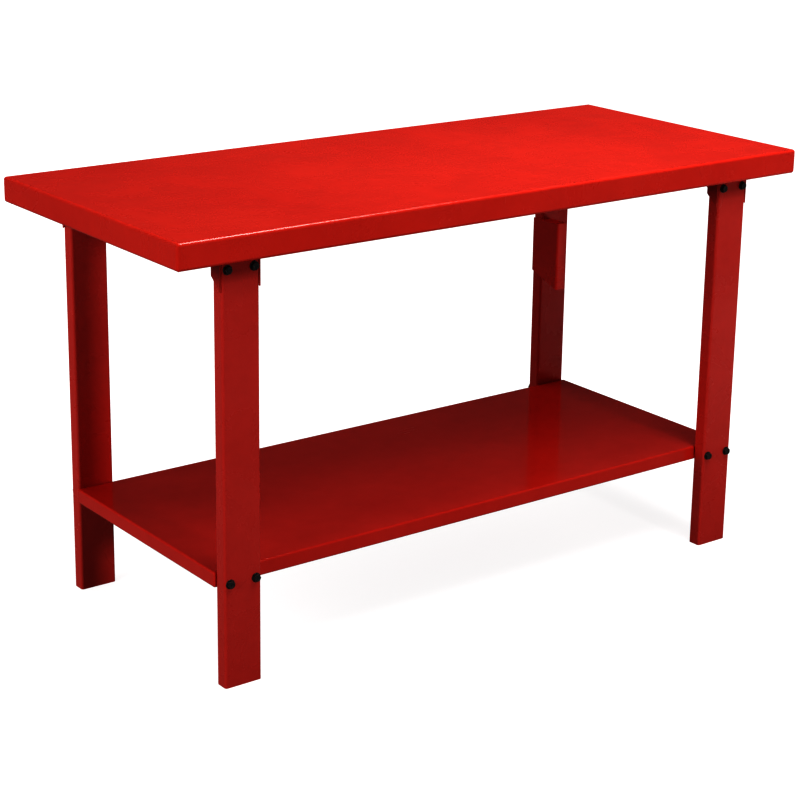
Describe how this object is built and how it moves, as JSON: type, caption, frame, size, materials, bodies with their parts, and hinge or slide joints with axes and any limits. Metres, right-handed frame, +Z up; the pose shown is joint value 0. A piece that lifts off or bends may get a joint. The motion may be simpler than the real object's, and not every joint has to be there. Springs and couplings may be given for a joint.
{
  "type": "workbench",
  "caption": "Free-standing workbench of folded sheet steel with a lipped top, tube legs bolted under it and a lower storage shelf, in gloss red enamel.",
  "frame": {"origin": "on the floor, under the middle of the worktop", "axes": "+X along the worktop to the right as seen from the front, +Y from the front to the back, +Z up"},
  "size_m": [1.5, 0.65, 0.86],
  "materials": {
    "worktop_enamel": "gloss red enamel on steel",
    "shelf_enamel": "gloss red enamel on steel",
    "leg_enamel": "gloss red enamel on steel",
    "bracket_enamel": "gloss red enamel on steel",
    "rib_enamel": "red enamel on steel",
    "black_fasteners": "black oxide steel"
  },
  "bodies": {
    "root": {"worktop": "worktop_enamel", "lower_shelf": "shelf_enamel", "worktop_rib_front": "rib_enamel", "worktop_rib_middle": "rib_enamel", "worktop_rib_rear": "rib_enamel", "shelf_rib_front": "rib_enamel", "shelf_rib_rear": "rib_enamel", "leg_front_left": "leg_enamel", "foot_plate_front_left": "leg_enamel", "leg_bracket_front_left": "bracket_enamel", "leg_front_right": "leg_enamel", "foot_plate_front_right": "leg_enamel", "leg_bracket_front_right": "bracket_enamel", "leg_rear_left": "leg_enamel", "foot_plate_rear_left": "leg_enamel", "leg_bracket_rear_left": "bracket_enamel", "leg_rear_right": "leg_enamel", "foot_plate_rear_right": "leg_enamel", "leg_bracket_rear_right": "bracket_enamel", "accessory_bracket": "bracket_enamel", "top_bolts": "black_fasteners", "top_head_washers": "black_fasteners", "top_nut_washers": "black_fasteners", "top_nuts": "black_fasteners", "shelf_bolts": "black_fasteners", "shelf_head_washers": "black_fasteners", "shelf_nut_washers": "black_fasteners", "shelf_nuts": "black_fasteners"}
  },
  "joints": []
}
